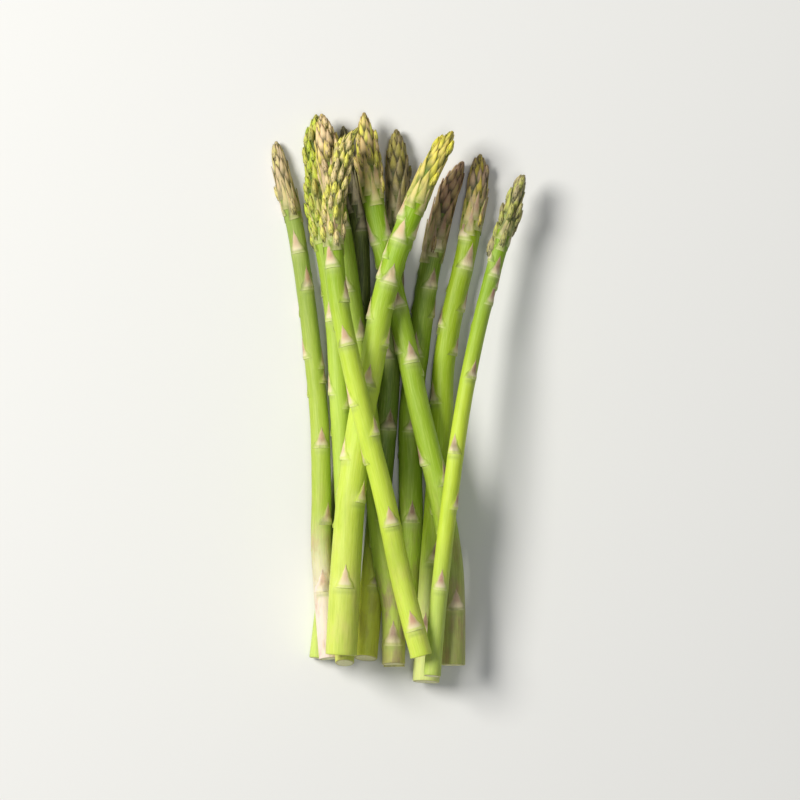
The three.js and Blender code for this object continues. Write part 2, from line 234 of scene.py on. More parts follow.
# Every spear, from the lowest in the pile to the highest.
# plan: its centre line seen from above, from the tip to the cut end
# head, neck, butt: its widths across the head, just below it, and at the cut end
# peak: how far from the tip the head is widest
# start: the side of the head's first scale, in degrees
# scaled, scales: how far from the tip the head's scales reach, and how many there are
# budding: how many of the head's scales have a side bud, as a share
# cut: the slope of the cut end
# blush: how strongly the foot is flushed, and foot_from: where the foot starts if not as others
# nodes: stem scales, by the place of the base along Y and its side, 0 right, 90 up, 180 left
# buds: side buds on the stem, in the same way
# shoot, stem, foot, flush: the stalk's colours from the head down, and what its scales blush to
# tip, heart, edge, gap: the head scales' two colours, their edges, and the shade between them
SPEARS = [
    dict(
        name="spear_01", slot="shaded_spear",
        plan=[(-0.024, 0.1155), (-0.0218, 0.1016), (-0.0189, 0.084), (-0.0164, 0.064), (-0.0162, 0.04),
              (-0.018, 0.016), (-0.0224, -0.015), (-0.0277, -0.055), (-0.0342, -0.1096)],
        head=0.0086, peak=0.017, neck=0.007, butt=0.0084, start=60,
        scaled=0.042, scales=58, budding=0.1, cut=0.1, blush=0.2,
        nodes=[(0.072, 60), (0.04, 130), (0.008, 50), (-0.03, 120), (-0.072, 40)],
        # Its shoot, stem and head colours are darkened as painted shade, for a spear lying deep in the pile
        shoot="#4a522a", stem="#56652c", foot="#c8dc6c", flush="#6a5c4c",
        tip="#958b70", heart="#96946a", edge="#5f5644", gap="#22240f",
    ),
    dict(
        name="spear_02", slot="shaded_spear",
        plan=[(-0.0015, 0.1142), (-0.0013, 0.0987), (-0.0014, 0.084), (-0.0029, 0.0462), (-0.005, 0),
              (-0.0088, -0.044), (-0.0147, -0.1105)],
        head=0.0109, peak=0.018, neck=0.0084, butt=0.01, start=95,
        scaled=0.042, scales=72, budding=0.1, cut=0.3, blush=0.3,
        nodes=[(0.07, 80), (0.045, 20), (0.018, 120), (-0.0126, 70), (-0.047, 100), (-0.0777, 60)],
        # Its shoot, stem and head colours are darkened as painted shade, for a spear lying deep in the pile,
        # and its foot is brightened as painted light where the spears above shade it
        shoot="#6c7436", stem="#70892f", foot="#e0e854", flush="#8a6e56",
        tip="#988a5e", heart="#a49a44", edge="#76604a", gap="#26270b",
    ),
    dict(
        name="spear_03", slot="purple_spear",
        plan=[(0.0267, 0.1006), (0.0234, 0.0936), (0.019, 0.0827), (0.0147, 0.066), (0.0109, 0.0462),
              (0.008, 0.0231), (0.0046, -0.004), (0.0044, -0.0294), (0.0046, -0.0504), (0.0034, -0.0714),
              (0.0017, -0.0958)],
        head=0.0097, peak=0.015, neck=0.009, butt=0.0104, start=100,
        scaled=0.046, scales=72, budding=0.05, cut=0.2, blush=0.5,
        nodes=[(0.0634, 70), (0.0475, 60), (0.036, 0), (0.019, 110), (-0.013, 75), (-0.0508, 85),
               (-0.085, 60)],
        shoot="#6e8826", stem="#8fac2a", foot="#a8c040", flush="#865c56",
        tip="#b89478", heart="#b89e6c", edge="#946e5c", gap="#33281a",
    ),
    dict(
        name="spear_04", slot="green_spear",
        plan=[(0.0339, 0.1037), (0.0327, 0.0932), (0.0315, 0.081), (0.0269, 0.0575), (0.0218, 0.035),
              (0.0183, 0.0126), (0.0174, -0.0126), (0.0155, -0.044), (0.013, -0.082), (0.0109, -0.1197)],
        head=0.0103, peak=0.017, neck=0.0087, butt=0.0113, start=75,
        scaled=0.035, scales=64, budding=0.15, cut=0.15, blush=0.2,
        nodes=[(0.068, 130), (0.0554, 70), (0.0386, 10), (0.0302, 170), (-0.0017, 150), (-0.033, 70),
               (-0.068, 80), (-0.098, 110)],
        shoot="#92ae16", stem="#a6c226", foot="#d4dc88", flush="#9c6c60",
        tip="#ac9276", heart="#c8b644", edge="#806656", gap="#2b330c",
    ),
    dict(
        name="spear_05", slot="bright_spear",
        plan=[(-0.0523, 0.1091), (-0.0496, 0.0945), (-0.0444, 0.0735), (-0.04, 0.0462), (-0.0369, 0.021),
              (-0.034, -0.0084), (-0.0331, -0.038), (-0.0332, -0.061), (-0.0317, -0.084), (-0.0296, -0.1096)],
        head=0.0082, peak=0.013, neck=0.0072, butt=0.0088, start=80,
        scaled=0.036, scales=58, budding=0.1, cut=0.15, blush=0.7,
        nodes=[(0.063, 100), (0.047, 60), (0.0176, 165), (0.0126, 10), (-0.0202, 80), (-0.052, 45),
               (-0.0798, 90)],
        shoot="#8fa548", stem="#aac044", foot="#f4dfd6", flush="#c2917c",
        tip="#dcc498", heart="#dcd080", edge="#a0866a", gap="#3c401a",
    ),
    dict(
        name="spear_06", slot="green_spear",
        plan=[(-0.0354, 0.1205), (-0.0361, 0.105), (-0.0351, 0.088), (-0.0328, 0.0693), (-0.0298, 0.0525),
              (-0.0271, 0.0294), (-0.0256, 0), (-0.0239, -0.0315), (-0.0225, -0.067), (-0.0233, -0.1121)],
        head=0.0092, peak=0.016, neck=0.0082, butt=0.008, start=85,
        scaled=0.058, scales=88, budding=0.8, cut=0.4, blush=0.2,
        nodes=[(0.0693, 150), (0.055, 50), (0.033, 110), (0.002, 165), (-0.004, 20), (-0.04, 95),
               (-0.078, 60)],
        shoot="#98b62c", stem="#b4ce4c", foot="#cfd660", flush="#cba98a",
        tip="#cfc466", heart="#c6d838", edge="#a09a3e", gap="#304a08",
    ),
    dict(
        name="spear_07", slot="green_spear",
        plan=[(-0.033, 0.1205), (-0.0311, 0.107), (-0.0281, 0.0882), (-0.0239, 0.0672), (-0.0206, 0.0441),
              (-0.0176, 0.0231), (-0.0139, -0.0042), (-0.0101, -0.038), (-0.0069, -0.067), (-0.003, -0.088),
              (-0.0027, -0.1123)],
        head=0.0101, peak=0.014, neck=0.0084, butt=0.0096, start=70,
        scaled=0.042, scales=68, budding=0.3, cut=0.2, blush=0.8, foot_from=0.86,
        nodes=[(0.072, 70), (0.046, 120), (0.025, 60), (-0.01, 100), (-0.05, 50), (-0.1029, 95)],
        shoot="#88a42e", stem="#b4cc4c", foot="#c6ba78", flush="#a88878",
        tip="#f0d2a2", heart="#eede66", edge="#b08a66", gap="#3e4014",
    ),
    dict(
        name="spear_08", slot="green_spear",
        plan=[(-0.0151, 0.121), (-0.0143, 0.1092), (-0.0128, 0.0966), (-0.0101, 0.0777), (-0.0059, 0.0588),
              (-0.0017, 0.042), (0.0029, 0.021), (0.0082, -0.0042), (0.0168, -0.04), (0.0214, -0.0672),
              (0.0225, -0.089), (0.0225, -0.112)],
        head=0.0105, peak=0.021, neck=0.0088, butt=0.0099, start=90,
        scaled=0.041, scales=70, budding=0.3, cut=0.1, blush=0.6,
        nodes=[(0.0672, 25), (0.0665, 155), (0.0386, 80), (0.0202, 170), (0.0151, 70), (-0.0265, 165),
               (-0.0365, 30), (-0.0874, 75)],
        shoot="#88ac1e", stem="#9ab82e", foot="#a4a862", flush="#a6746a",
        tip="#e2c488", heart="#e2dc58", edge="#a88656", gap="#343f0e",
    ),
    dict(
        name="spear_09", slot="bright_spear",
        plan=[(0.022, 0.1128), (0.0164, 0.1029), (0.0097, 0.09), (0.0029, 0.0735), (-0.0029, 0.0567),
              (-0.0078, 0.0386), (-0.0115, 0.0168), (-0.016, -0.0063), (-0.0202, -0.0378), (-0.0225, -0.0672),
              (-0.0246, -0.1067)],
        head=0.0097, peak=0.017, neck=0.0094, butt=0.0132, start=95,
        scaled=0.039, scales=66, budding=0.15, cut=0, blush=0.2,
        nodes=[(0.0745, 160), (0.069, 10), (0.066, 110), (0.0491, 85), (0.05, 175), (0.0332, 165),
               (0.0235, 15), (0.0063, 95), (-0.0252, 160), (-0.0428, 40), (-0.0785, 90)],
        shoot="#8cb40c", stem="#c6da4c", foot="#cddb5c", flush="#dcb890",
        tip="#e8d470", heart="#f2e84c", edge="#b89e40", gap="#3c5608",
    ),
    dict(
        name="spear_10", slot="green_spear",
        plan=[(0.0523, 0.0945), (0.0493, 0.0869), (0.0445, 0.0722), (0.0391, 0.0538), (0.0319, 0.0252),
              (0.0258, -0.0063), (0.0206, -0.044), (0.0166, -0.0798), (0.0134, -0.1163)],
        head=0.0071, peak=0.01, neck=0.0064, butt=0.0072, start=80,
        scaled=0.034, scales=56, budding=0.35, cut=0.15, blush=0.1,
        nodes=[(0.076, 165), (0.058, 165), (0.052, 70), (0.0407, 40), (0.0092, 60), (-0.0218, 110),
               (-0.045, 25), (-0.0785, 90)],
        buds=[(0.0585, 172)],
        shoot="#86ab20", stem="#c8de40", foot="#b4ca5c", flush="#b28070",
        tip="#b8aa7c", heart="#bcc058", edge="#86765a", gap="#34421a",
    ),
    dict(
        name="spear_11", slot="bright_spear",
        plan=[(-0.0176, 0.114), (-0.0231, 0.105), (-0.0258, 0.0932), (-0.0277, 0.0798), (-0.0279, 0.065),
              (-0.026, 0.0441), (-0.0212, 0.019), (-0.0143, -0.0105), (-0.0063, -0.042), (0.0013, -0.0777),
              (0.009, -0.1071)],
        head=0.0082, peak=0.022, neck=0.0082, butt=0.0092, start=90,
        scaled=0.056, scales=84, budding=0.9, cut=0, blush=0.2,
        nodes=[(0.066, 60), (0.0554, 110), (0.0407, 25), (0.0227, 90), (-0.0017, 165), (-0.015, 25),
               (-0.0525, 80), (-0.0958, 85)],
        shoot="#88ac14", stem="#c8de46", foot="#cee250", flush="#cf9f82",
        tip="#ead298", heart="#eae65e", edge="#ae984e", gap="#33500a",
    ),
]


# Smooth change from one value to the next along pairs of place and value
def eased(pairs, places):
    at = np.array([place for place, _ in pairs])
    values = np.array([value for _, value in pairs])
    places = np.clip(places, at[0], at[-1])
    index = np.clip(np.searchsorted(at, places, side="left") - 1, 0, len(at) - 2)
    share = (places - at[index]) / (at[index + 1] - at[index])
    return values[index] + (values[index + 1] - values[index]) * share * share * (3 - 2 * share)


# A soft rise and fall around a middle
def bell(places, middle, length):
    return np.exp(-(((places - middle) / length) ** 2))


# A random value between two
def between(draw, low_and_high):
    low, high = low_and_high
    return low + (high - low) * draw.random()


# A random value around zero, within a whole spread
def wobble(draw, spread):
    return spread * (draw.random() - 0.5)


# A smooth plan curve through the chosen points, as points one step apart
def trace_plan(plan):
    points = np.array(plan)
    points = np.vstack([2 * points[0] - points[1], points, 2 * points[-1] - points[-2]])
    pieces = []
    share = np.linspace(0, 1, PLAN_POINTS, endpoint=False)[:, None]
    for before, start, end, after in zip(points, points[1:], points[2:], points[3:]):
        leave = (end - before) / 2
        arrive = (after - start) / 2
        pieces.append(
            start + leave * share
            + (3 * (end - start) - 2 * leave - arrive) * share**2
            + (2 * (start - end) + leave + arrive) * share**3
        )
    line = np.vstack([*pieces, points[-2]])
    run = np.concatenate([[0], np.cumsum(np.hypot(*np.diff(line, axis=0).T))])
    steps = round(run[-1] / TRACE_STEP)
    places = np.linspace(0, run[-1], steps + 1)
    return np.column_stack([np.interp(places, run, line[:, 0]), np.interp(places, run, line[:, 1])])


# The stem's radius without scales, at distances from the tip
def bare_radius(spear, distance):
    head_radius = spear["head"] / 2 - HEAD_RISE
    share = np.clip(distance / spear["peak"], 0, 1)
    rounded = TIP_RADIUS + (head_radius - TIP_RADIUS) * np.sin(math.pi / 2 * share**HEAD_FULLNESS)
    below = eased([
        (spear["peak"], head_radius),
        (spear["peak"] * HEAD_END, spear["neck"] / 2),
        (spear["length"], spear["butt"] / 2),
    ], distance)
    return np.where(share < 1, rounded, below)


# The stem's radius at one distance
def radius_at(spear, distance):
    return float(bare_radius(spear, np.array([distance]))[0]) if distance > 0 else 0.0


# How far an arch of the tightest curve has fallen at a distance from its top
def arch_drop(distance):
    return distance**2 / (2 * ARCH_RADIUS)


# The lowest heights of a spear's centre over the surface and over the spears below it
def needed_heights(spear, below):
    places = np.arange(0, len(spear["trace"]), REST_EVERY)
    radii = bare_radius(spear, places * TRACE_STEP)
    needs = radii - PRESSED
    for other in below:
        touching = radii[:, None] + other["radii"] + 2 * SKIN_ROOM + CLEARANCE
        gaps = spear["trace"][places, None] - other["trace"][None]
        room = touching**2 - (gaps**2).sum(axis=2)
        lifts = np.where(room > 0, other["heights"] + np.sqrt(np.maximum(room, 0)), 0)
        needs = np.maximum(needs, lifts.max(axis=1))
    return places * TRACE_STEP, needs


# The lowest smooth line over the needed heights: it arches over each, and lies in a dip between
def arched_heights(places, needs, asked):
    drops = arch_drop(places[:, None] - places)
    domes = (needs - drops).max(axis=1)
    dips = (domes - drops).max(axis=1)
    return (dips + arch_drop(asked[:, None] - places)).min(axis=1)


# Lays the spears down one on another, from the lowest to the highest
def lay_down(spears):
    laid = []
    for spear in spears:
        spear["trace"] = trace_plan(spear["plan"])
        steps = np.arange(len(spear["trace"]))
        spear["length"] = steps[-1] * TRACE_STEP
        spear["radii"] = bare_radius(spear, steps * TRACE_STEP)
        places, needs = needed_heights(spear, laid)
        spear["heights"] = arched_heights(places, needs, steps * TRACE_STEP)
        laid.append(spear)


# Stops the script if a spear has left the place of its solid
def check_place(spear):
    low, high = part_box(spear["name"])
    for axis in (0, 1):
        middle = (spear["trace"][:, axis].min() + spear["trace"][:, axis].max()) / 2
        if abs(middle - (low[axis] + high[axis]) / 2) > PLACE_ALLOWED:
            raise RuntimeError(f"{spear['name']} is off its solid along axis {axis}")


# The centre line's point, the direction towards the tip, and the two directions across it
def frame_at(spear, distance):
    steps = np.clip(np.asarray(distance, float) / TRACE_STEP, 0, len(spear["trace"]) - 1)
    line = np.column_stack([spear["trace"], spear["heights"]])

    def line_at(asked):
        return np.column_stack([np.interp(asked, np.arange(len(line)), line[:, axis]) for axis in range(3)])

    along = line_at(steps - DIRECTION_STEPS) - line_at(steps + DIRECTION_STEPS)
    along /= np.linalg.norm(along, axis=1)[:, None]
    right = np.cross(along, [0, 0, 1])
    right /= np.linalg.norm(right, axis=1)[:, None]
    return line_at(steps), along, right, np.cross(right, along)


# The distance from the tip at which a spear passes a place along Y
def distance_at_y(spear, y):
    return int(np.argmax(spear["trace"][:, 1] <= y)) * TRACE_STEP


# The distances from the tip of the stem scales' bases, with their angles
def stem_nodes(spear):
    return [(distance_at_y(spear, y), angle) for y, angle in spear["nodes"]]


# Reads a named value of every point of a mesh
def read_values(mesh, name):
    column = np.zeros(len(mesh.vertices))
    mesh.attributes[name].data.foreach_get("value", column)
    return column


# Gives every point of a mesh a named value, or a named direction
def write_values(mesh, name, column):
    column = np.asarray(column, float)
    kind = "FLOAT_VECTOR" if column.ndim == 2 else "FLOAT"
    attribute = mesh.attributes.get(name) or mesh.attributes.new(name, kind, "POINT")
    attribute.data.foreach_set("vector" if column.ndim == 2 else "value", column.ravel())


# A mesh object from points, edges, faces and named values at its points
def mesh_object(name, points, edges, faces, values):
    mesh = bpy.data.meshes.new(name)
    mesh.from_pydata([tuple(point) for point in points], edges, faces)
    for key, column in values.items():
        write_values(mesh, key, column)
    mesh.update()
    shape = bpy.data.objects.new(name, mesh)
    bpy.context.scene.collection.objects.link(shape)
    return shape


# A scale's points and faces for a stem of radius 1: x is across, y runs to its point at 1, and z
# is out from the skin. It clasps the stem over its widths in degrees and lies out by its lifts.
def blade_shape(widths, lifts, across, along):
    shares = np.linspace(0, 1, along)
    sides = np.linspace(-1, 1, across)
    points = []
    for share, width, lift in zip(shares, np.radians(eased(widths, shares)), eased(lifts, shares)):
        for side in sides:
            radius = 1 + lift * (1 - EDGE_SINK * abs(side) ** EDGE_CURVE)
            points.append((radius * math.sin(side * width), share, radius * math.cos(side * width) - 1))
    last = (along - 1) * across
    faces = [tuple(reversed(range(across))), tuple(range(last, last + across))]
    for row in range(0, last, across):
        faces.append((row, row + across, row + 2 * across - 1, row + across - 1))
        for corner in range(row, row + across - 1):
            faces.append((corner, corner + 1, corner + across + 1, corner + across))
    return np.array(points), faces, np.tile(sides, along), np.repeat(shares, across)


# A scale as an object
def make_blade(name, widths, lifts, grid):
    points, faces, sides, shares = blade_shape(widths, lifts, *grid)
    return mesh_object(name, points, [], faces, {"across": sides, "rise": shares})


# A side bud: a small head of its own, of tiny scales in a spiral round a slim core
def make_bud(name):
    leaf, leaf_faces, leaf_across, leaf_rise = blade_shape(BUD_SCALE_WIDTHS, BUD_SCALE_LIFTS, *BUD_SCALE_GRID)
    points = []
    faces = []
    across = []
    rise = []
    for index in range(BUD_SCALES):
        base = BUD_HIGHEST * (1 - (index + 0.5) / BUD_SCALES)
        length = min(BUD_SCALE_LENGTH, BUD_END - base)
        girth, end_girth = eased(BUD_GIRTHS, np.array([base, base + length]))
        lean = (girth - end_girth) * BUD_LEAN
        turn = math.radians(index * SCALE_TURN)
        first = len(points)
        for x, y, z in leaf:
            out = girth * (1 + z) - lean * y
            side = girth * x
            points.append((side * math.cos(turn) + out * math.sin(turn), base + y * length,
                           out * math.cos(turn) - side * math.sin(turn)))
        faces += [tuple(first + corner for corner in face) for face in leaf_faces]
        across += list(leaf_across)
        rise += list(BUD_RISE_START + (leaf_rise + base) * BUD_RISE)
    return mesh_object(name, points, [], faces, {"across": across, "rise": rise})


# Every kind of scale and the side bud, in the order of the numbers that mark their points
def scale_shapes():
    shapes = []
    for number, clasp in STEM_SCALES.items():
        widths = [(place, clasp * share) for place, share in STEM_SCALE_WIDTHS] + [(1, STEM_SCALE_POINT)]
        shapes.append(make_blade(f"stem scale {number}", widths, STEM_SCALE_LIFTS, STEM_SCALE_GRID))
    shapes.append(make_blade("head scale", HEAD_SCALE_WIDTHS, HEAD_SCALE_LIFTS, HEAD_SCALE_GRID))
    shapes.append(make_blade("bract", BRACT_WIDTHS, BRACT_LIFTS, BRACT_GRID))
    shapes.append(make_bud("side bud"))
    return shapes


# One node tree in the making: nodes by type, with their settings and the values of their sockets
class Tree:
    def __init__(self, tree):
        self.tree = tree

    def node(self, kind, sockets=None, **settings):
        made = self.tree.nodes.new(kind)
        for name, value in settings.items():
            setattr(made, name, value)
        for name, value in (sockets or {}).items():
            if isinstance(value, Value):
                self.tree.links.new(value.socket, made.inputs[name])
            elif isinstance(value, bpy.types.NodeSocket):
                self.tree.links.new(value, made.inputs[name])
            else:
                made.inputs[name].default_value = value
        return made


# A number's socket in a material, so that shader maths reads as plain expressions
class Value:
    def __init__(self, tree, socket):
        self.tree = tree
        self.socket = socket

    def maths(self, operation, first, second=0.0):
        made = self.tree.node("ShaderNodeMath", {0: first, 1: second}, operation=operation)
        return Value(self.tree, made.outputs[0])

    def __add__(self, other):
        return self.maths("ADD", self, other)

    __radd__ = __add__

    def __mul__(self, other):
        return self.maths("MULTIPLY", self, other)

    __rmul__ = __mul__

    def __sub__(self, other):
        return self.maths("SUBTRACT", self, other)

    def __rsub__(self, other):
        return self.maths("SUBTRACT", other, self)

    def __abs__(self):
        return self.maths("ABSOLUTE", self)


# A material in the making: named values of the surface, noise, colours and the shader. A step is
# 0 up to its first number, 1 from its second, and smooth between.
class Finish(Tree):
    def __init__(self, name):
        self.material = bpy.data.materials.new(name)
        self.material.use_nodes = True
        self.material.node_tree.nodes.clear()
        super().__init__(self.material.node_tree)

    def surface(self, name):
        return Value(self, self.node("ShaderNodeAttribute", attribute_name=name).outputs["Fac"])

    def vector(self, name):
        return Value(self, self.node("ShaderNodeAttribute", attribute_name=name).outputs["Vector"])

    def place(self, scale):
        coordinate = self.node("ShaderNodeTexCoord").outputs["Object"]
        return Value(self, self.node("ShaderNodeMapping", {"Vector": coordinate, "Scale": scale}).outputs[0])

    def noise(self, vector, scale, detail=2.0, roughness=0.5):
        made = self.node("ShaderNodeTexNoise", {"Vector": vector, "Scale": scale, "Detail": detail,
                                                "Roughness": roughness})
        return Value(self, made.outputs["Fac"])

    def step(self, value, low, high):
        made = self.node("ShaderNodeMapRange", {"Value": value, "From Min": low, "From Max": high},
                         interpolation_type="SMOOTHSTEP")
        return Value(self, made.outputs[0])

    def mix(self, factor, first, second):
        made = self.node("ShaderNodeMix", {0: factor, 6: first, 7: second}, data_type="RGBA")
        return Value(self, made.outputs[2])

    # Lays colours over one another. Each layer is how strongly it shows, from 0 to 1, and its colour.
    def layered(self, body, layers):
        for shown, seen in layers:
            body = self.mix(shown, body, colour(seen))
        return body

    def shade(self, sockets):
        shader = self.node("ShaderNodeBsdfPrincipled", sockets)
        output = self.node("ShaderNodeOutputMaterial")
        self.tree.links.new(shader.outputs[0], output.inputs["Surface"])
        return self.material

    def bumps(self, height, strength):
        made = self.node("ShaderNodeBump", {"Height": height, "Strength": strength, "Distance": BUMP_DEPTH})
        return made.outputs[0]


# A colour as seen on a screen, as the shader's own linear values, by the screen's standard curve
def colour(seen):
    parts = [int(seen[index:index + 2], 16) / 255 for index in (1, 3, 5)]
    return (*[part / 12.92 if part <= 0.04045 else ((part + 0.055) / 1.055) ** 2.4 for part in parts], 1.0)


# The distance from the tip at which the foot's colour starts, or by a share of the length earlier
def foot_start(spear, earlier=0):
    return spear["length"] * (spear.get("foot_from", FOOT_FROM) - earlier)


# The colour of a stalk along its length: fresh below the head and paler at the foot
def length_colour(skin, spear):
    place = skin.surface("place")
    shoot_end, stem_start = [share * spear["length"] for share in STEM_COLOUR]
    start = foot_start(spear)
    return skin.layered(colour(spear["shoot"]), [
        (skin.step(place, shoot_end, stem_start), spear["stem"]),
        (skin.step(place, start, start + spear["length"] * FOOT_CHANGE), spear["foot"]),
    ])


# The smooth waxy skin of a stalk, with fine lengthwise streaks, and its cut end
def stalk_skin(spear):
    skin = Finish(spear["name"] + " skin")
    streaks = skin.noise(skin.vector("skin"), scale=9.0, detail=5.0, roughness=0.65)
    cloud = skin.noise(skin.place((1, 0.35, 1)), scale=110.0, detail=3.0)
    blotch = skin.noise(skin.place((1, 0.4, 1)), scale=190.0, detail=3.0, roughness=0.6)
    foot = skin.step(skin.surface("place"), foot_start(spear, FLUSH_EARLIER), spear["length"] * FLUSH_FULL)
    body = skin.layered(length_colour(skin, spear), [
        (skin.step(blotch, 0.45, 0.7) * foot * spear["blush"], spear["flush"]),
        (skin.step(streaks, 0.42, 0.72) * 0.25, PALE_STREAK),
        (skin.step(streaks, 0.5, 0.28) * 0.2, DARK_STREAK),
        (skin.step(cloud, 0.45, 0.8) * 0.3, DEEP_CLOUD),
        (skin.surface("pale") * 0.4, PALE_BAND),
        # Painted shadow below each stem scale's ledge
        (skin.surface("ledge_shadow") * 0.4, LEDGE_SHADOW_COLOUR),
        # Painted shade inside the head, on the bare stem between its scales
        (skin.surface("head") * 0.95, spear["gap"]),
    ])
    flesh = skin.layered(colour(CUT_FLESH), [
        (skin.step(skin.surface("core"), 0.7, 0.97), CUT_RING),
        (skin.step(streaks, 0.5, 0.62) * 0.4, CUT_GRAIN),
    ])
    return skin.shade({
        "Base Color": skin.mix(skin.surface("cut"), body, flesh),
        "Roughness": 0.4 + cloud * 0.16,
        "Specular IOR Level": 0.3,
        "Subsurface Weight": 0.1,
        "Subsurface Radius": (1.0, 0.8, 0.1),
        "Subsurface Scale": 0.002,
        "Normal": skin.bumps(streaks + cloud * 0.4, 0.35),
    })


# A scale: on the stem pale at its base and flushed pink or purple towards its point, on the head
# bright along its middle and brown or purple at its edges and point, with painted shade along its
# sides and over its covered base
def scale_skin(spear):
    skin = Finish(spear["name"] + " scale")
    rise = skin.surface("rise")
    across = abs(skin.surface("across"))
    tint = skin.surface("tint")
    crown = skin.surface("crown")
    grain = skin.noise(skin.vector("skin"), scale=16.0, detail=4.0, roughness=0.65)
    cloud = skin.noise(skin.place((1, 0.5, 1)), scale=260.0)
    patches = skin.noise(skin.place((1, 0.6, 1)), scale=480.0, detail=3.0, roughness=0.6)
    lip = (1 - skin.step(rise, 0.02, 0.12)) * (1 - skin.step(across, 0.5, 1.0))
    cream = skin.step(rise, 0.02, 0.2) * (1 - skin.step(across, 0.3, 0.95))
    middle = skin.step(rise, 0.12, 0.5) * (1 - skin.step(across, 0.2, 0.95))
    stem_scale = skin.layered(length_colour(skin, spear), [
        (lip * 0.5, SCALE_LIP),
        (cream * (0.85 - crown * 0.4), SCALE_CREAM),
        (middle * (0.55 + tint * 0.4), spear["flush"]),
    ])
    buried_shade = 1 - skin.step(rise, 0.05, 0.5)
    head_scale = skin.layered(colour(spear["heart"]), [
        (skin.step(tint * 0.6 + patches, 0.6, 1.0), spear["tip"]),
        (skin.step(across, 0.3, 1.0) * 0.75, spear["edge"]),
        (skin.step(rise, 0.72, 1.0) * 0.7, spear["edge"]),
        # Painted shade along the sides of head scales and over their covered bases
        (skin.step(across, 0.65, 1.0) * crown * 0.8, spear["gap"]),
        (buried_shade * crown * 0.9, spear["gap"]),
    ])
    body = skin.layered(skin.mix(crown, stem_scale, head_scale), [
        (skin.step(grain, 0.45, 0.8) * 0.28, SCALE_GRAIN),
        (skin.step(cloud, 0.48, 0.72) * 0.4, spear["gap"]),
    ])
    return skin.shade({
        "Base Color": body,
        "Roughness": 0.45 + cloud * 0.2,
        "Specular IOR Level": 0.4,
        "Subsurface Weight": 0.15,
        "Subsurface Radius": (1.0, 0.9, 0.4),
        "Subsurface Scale": 0.0008,
        "Normal": skin.bumps(grain + cloud * 0.5, 0.5),
    })


# The tree that makes one spear: a stalk swept along its line, and scales and buds set on points
def spear_tree(names):
    group = bpy.data.node_groups.new("spear", "GeometryNodeTree")
    sockets = [("Line and points", "NodeSocketGeometry"), ("Sides", "NodeSocketInt")]
    sockets += [(name, "NodeSocketObject") for name in names]
    sockets += [("Stalk skin", "NodeSocketMaterial"), ("Scale skin", "NodeSocketMaterial")]
    for name, kind in sockets:
        group.interface.new_socket(name, in_out="INPUT", socket_type=kind)
    group.interface.new_socket("Spear", in_out="OUTPUT", socket_type="NodeSocketGeometry")
    tree = Tree(group)
    given = tree.node("NodeGroupInput").outputs

    def named(name, kind="FLOAT"):
        return tree.node("GeometryNodeInputNamedAttribute", {"Name": name}, data_type=kind).outputs[0]

    def painted(shape, skin):
        return tree.node("GeometryNodeSetMaterial", {"Geometry": shape, "Material": given[skin]}).outputs[0]

    part = named("part")

    def points_of(number):
        same = tree.node("FunctionNodeCompare", {0: part, 1: float(number)}, operation="EQUAL")
        split = tree.node("GeometryNodeSeparateGeometry",
                          {"Geometry": given["Line and points"], "Selection": same.outputs[0]})
        return split.outputs[0]

    curve = tree.node("GeometryNodeMeshToCurve", {"Mesh": points_of(STALK)}).outputs[0]
    circle = tree.node("GeometryNodeCurvePrimitiveCircle", {"Resolution": given["Sides"], "Radius": 1.0})
    stalk = tree.node("GeometryNodeCurveToMesh", {"Curve": curve, "Profile Curve": circle.outputs[0],
                                                  "Scale": named("girth"), "Fill Caps": True}).outputs[0]
    turn = tree.node("FunctionNodeEulerToRotation", {"Euler": named("turn", "FLOAT_VECTOR")}).outputs[0]
    joined = tree.node("GeometryNodeJoinGeometry")
    for number, name in enumerate(names, STALK + 1):
        shape = tree.node("GeometryNodeObjectInfo", {"Object": given[name]}).outputs["Geometry"]
        copies = tree.node("GeometryNodeInstanceOnPoints",
                           {"Points": points_of(number), "Instance": shape, "Rotation": turn,
                            "Scale": named("size", "FLOAT_VECTOR")}).outputs[0]
        tree.tree.links.new(copies, joined.inputs[0])
    scales = tree.node("GeometryNodeRealizeInstances", {"Geometry": joined.outputs[0]}).outputs[0]
    whole = tree.node("GeometryNodeJoinGeometry")
    tree.tree.links.new(painted(stalk, "Stalk skin"), whole.inputs[0])
    tree.tree.links.new(painted(scales, "Scale skin"), whole.inputs[0])
    output = tree.node("NodeGroupOutput")
    tree.tree.links.new(whole.outputs[0], output.inputs[0])
    return group


# The swept line of one stalk: places from the tip to the cut end, with their girths
def stalk_line(spear):
    tip, tip_shares = np.array(TIP_RINGS).T
    rim_shares, rim_depths = np.array(CUT_RINGS).T
    length = spear["length"]
    body = np.linspace(BODY_START, length - CUT_RIM, round(length / RING_STEP))
    places = np.concatenate([tip, body])
    girths = bare_radius(spear, places)
    girths[:len(tip)] *= tip_shares
    for base, _ in stem_nodes(spear):
        girths *= 1 + SWELL * bell(places, base + SWELL_BELOW, SWELL_LENGTH)
    order = np.arange(len(rim_shares))
    bare = np.zeros(len(places))
    return {
        "place": np.concatenate([places, length - CUT_RIM * rim_depths + order * HAIR]),
        "girth": np.concatenate([girths, rim_shares * girths[-1]]),
        "cut": np.concatenate([bare, order > 0]),
        "core": np.concatenate([bare, rim_shares]),
    }


